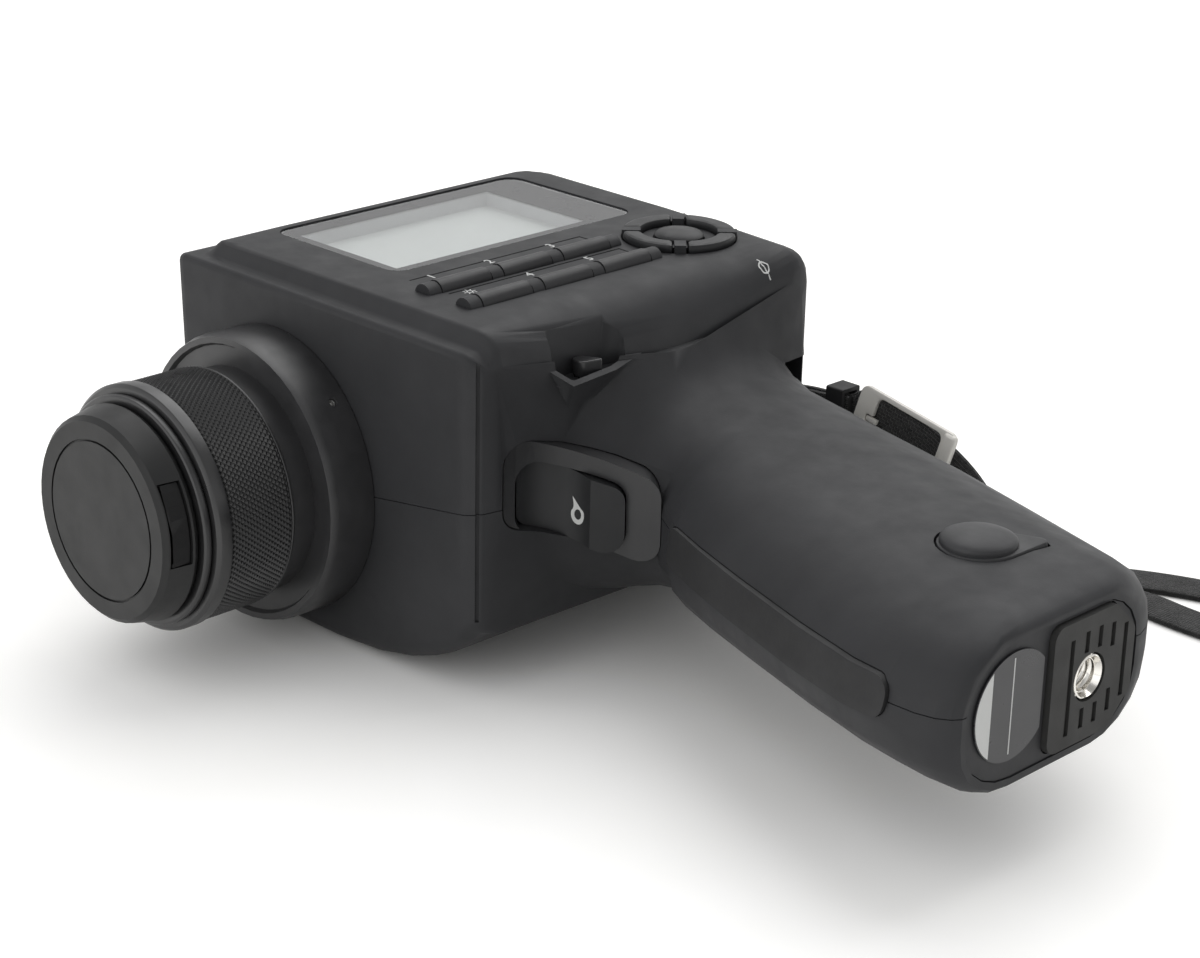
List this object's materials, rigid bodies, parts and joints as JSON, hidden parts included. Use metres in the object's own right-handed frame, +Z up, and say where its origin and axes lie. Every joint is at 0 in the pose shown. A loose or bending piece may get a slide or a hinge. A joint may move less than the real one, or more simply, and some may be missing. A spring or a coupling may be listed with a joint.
{
  "type": "chroma meter",
  "caption": "Pistol-grip spot chroma meter with a capped focusing lens, grey display, soft keys, a measuring button in the grip's hollow, a battery grip with tripod socket and a wrist strap.",
  "frame": {"origin": "bottom centre of the meter's own box, without the wrist strap, on the surface it lies on", "axes": "+X runs down the grip, +Y runs back from the lens to the eyepiece, +Z points up out of the display"},
  "size_m": [0.2384, 0.2213, 0.0792],
  "materials": {
    "shell_plastic": "fine spark-eroded grain, satin",
    "black_plastic": "satin moulded black",
    "key_plastic": "smooth satin dark grey",
    "button_plastic": "smooth satin grey",
    "black_metal": "black anodised, semi-gloss",
    "soft_rubber": "matt moulded rubber",
    "black_rubber": "matt moulded rubber",
    "window_glass": "clear, polished",
    "lens_glass": "coated, polished",
    "screen_print": "grey liquid crystal behind glass",
    "bright_metal": "nickel plated",
    "steel": "plain zinc-plated steel",
    "brass_metal": "plain sprung brass",
    "mirror_face": "front-silvered",
    "board": "solder-resist green",
    "cell_wrap": "plain shrink sleeve",
    "webbing": "flat woven webbing",
    "label_print": "silvered label with plain rules"
  },
  "bodies": {
    "housing": {"aperture_mirror": "mirror_face", "base_plate": "shell_plastic", "battery_1": "cell_wrap", "battery_2": "cell_wrap", "battery_tray": "black_plastic", "contact_lower": "brass_metal", "contact_upper": "brass_metal", "display_module": "screen_print", "display_window": "window_glass", "eye_cup": "black_rubber", "eyepiece_lens": "lens_glass", "eyepiece_tube": "black_metal", "finger_strip": "soft_rubber", "jack_socket": "black_plastic", "key_mat": "black_rubber", "label_plate": "label_print", "left_shell": "shell_plastic", "lens_mount": "black_metal", "main_board": "board", "optical_bench": "black_metal", "right_shell": "shell_plastic", "rubber_foot": "black_rubber", "sensor_block": "black_plastic", "shell_screw_1": "steel", "shell_screw_2": "steel", "shell_screw_3": "steel", "shell_screw_4": "steel", "strap_bar": "steel", "strap_buckle": "bright_metal", "strap_keeper": "black_rubber", "trigger_bezel": "key_plastic", "trigger_switch": "black_plastic", "tripod_socket": "steel", "wrist_strap": "webbing"},
    "focus_ring": {"focus_ring": "black_metal"},
    "lens_barrel": {"lens_barrel": "black_metal", "front_lens": "lens_glass", "lens_retainer": "black_metal"},
    "lens_cap": {"lens_cap": "black_plastic"},
    "cap_tab_below": {"cap_tab_below": "black_plastic"},
    "cap_tab_above": {"cap_tab_above": "black_plastic"},
    "middle_button": {"middle_button": "button_plastic"},
    "measuring_button": {"measuring_button": "button_plastic"},
    "selector_knob": {"selector_knob": "key_plastic"},
    "diopter_ring": {"diopter_ring": "black_plastic"},
    "battery_cover": {"battery_cover": "shell_plastic"},
    "jack_cover": {"jack_cover": "soft_rubber"},
    "key_above": {"key_above": "button_plastic"},
    "key_below": {"key_below": "button_plastic"},
    "key_front": {"key_front": "button_plastic"},
    "key_rear": {"key_rear": "button_plastic"},
    "key_1": {"key_1": "key_plastic"},
    "key_2": {"key_2": "key_plastic"},
    "key_3": {"key_3": "key_plastic"},
    "key_4": {"key_4": "key_plastic"},
    "key_5": {"key_5": "key_plastic"},
    "key_6": {"key_6": "key_plastic"}
  },
  "joints": [
    {"name": "focus_turn", "type": "hinge", "parent": "housing", "child": "focus_ring", "pos_m": [-0.0731, -0.05875, 0.0345], "axis": [0, -1, 0], "range_deg": [0, 120]},
    {"name": "barrel_slide", "type": "slide", "parent": "housing", "child": "lens_barrel", "axis": [0, -1, 0], "range_m": [0, 0.005]},
    {"name": "cap_slide", "type": "slide", "parent": "lens_barrel", "child": "lens_cap", "axis": [0, -1, 0], "range_m": [0, 0.03]},
    {"name": "cap_tab_below_squeeze", "type": "slide", "parent": "lens_cap", "child": "cap_tab_below", "axis": [-0.9781, 0, -0.2079], "range_m": [0, 0.0012], "stiffness_N_per_m": 1600},
    {"name": "cap_tab_above_squeeze", "type": "slide", "parent": "lens_cap", "child": "cap_tab_above", "axis": [0.9781, 0, 0.2079], "range_m": [0, 0.0012], "stiffness_N_per_m": 1600},
    {"name": "key_1_press", "type": "slide", "parent": "housing", "child": "key_1", "axis": [0, 0, -1], "range_m": [0, 0.0008], "stiffness_N_per_m": 1500},
    {"name": "key_2_press", "type": "slide", "parent": "housing", "child": "key_2", "axis": [0, 0, -1], "range_m": [0, 0.0008], "stiffness_N_per_m": 1500},
    {"name": "key_3_press", "type": "slide", "parent": "housing", "child": "key_3", "axis": [0, 0, -1], "range_m": [0, 0.0008], "stiffness_N_per_m": 1500},
    {"name": "key_4_press", "type": "slide", "parent": "housing", "child": "key_4", "axis": [0, 0, -1], "range_m": [0, 0.0008], "stiffness_N_per_m": 1500},
    {"name": "key_5_press", "type": "slide", "parent": "housing", "child": "key_5", "axis": [0, 0, -1], "range_m": [0, 0.0008], "stiffness_N_per_m": 1500},
    {"name": "key_6_press", "type": "slide", "parent": "housing", "child": "key_6", "axis": [0, 0, -1], "range_m": [0, 0.0008], "stiffness_N_per_m": 1500},
    {"name": "key_above_press", "type": "slide", "parent": "housing", "child": "key_above", "axis": [0, 0, -1], "range_m": [0, 0.0007], "stiffness_N_per_m": 1500},
    {"name": "key_below_press", "type": "slide", "parent": "housing", "child": "key_below", "axis": [0, 0, -1], "range_m": [0, 0.0007], "stiffness_N_per_m": 1500},
    {"name": "key_front_press", "type": "slide", "parent": "housing", "child": "key_front", "axis": [0, 0, -1], "range_m": [0, 0.0007], "stiffness_N_per_m": 1500},
    {"name": "key_rear_press", "type": "slide", "parent": "housing", "child": "key_rear", "axis": [0, 0, -1], "range_m": [0, 0.0007], "stiffness_N_per_m": 1500},
    {"name": "middle_button_press", "type": "slide", "parent": "housing", "child": "middle_button", "axis": [0, 0, -1], "range_m": [0, 0.0007], "stiffness_N_per_m": 1500},
    {"name": "measuring_press", "type": "slide", "parent": "housing", "child": "measuring_button", "axis": [-0.7431, 0.6691, 0], "range_m": [0, 0.002], "stiffness_N_per_m": 1200},
    {"name": "selector_turn", "type": "hinge", "parent": "housing", "child": "selector_knob", "pos_m": [-0.0124, -0.00365, 0.0655], "axis": [0, 0, 1], "range_deg": [0, 60]},
    {"name": "diopter_turn", "type": "hinge", "parent": "housing", "child": "diopter_ring", "pos_m": [-0.0731, 0.06825, 0.0345], "axis": [0, -1, 0], "range_deg": [-60, 60]},
    {"name": "battery_cover_swing", "type": "hinge", "parent": "housing", "child": "battery_cover", "pos_m": [0.0662, 0.02125, 0.0177], "axis": [0, -1, 0], "range_deg": [0, 90]},
    {"name": "jack_cover_swing", "type": "hinge", "parent": "housing", "child": "jack_cover", "pos_m": [0.08624, 0.01988, 0.0526], "axis": [-0.829, 0.5592, 0], "range_deg": [0, 75]}
  ],
  "couplings": [
    {"joint": "barrel_slide", "follows": "focus_turn", "m_per_rad": 0.00238}
  ]
}
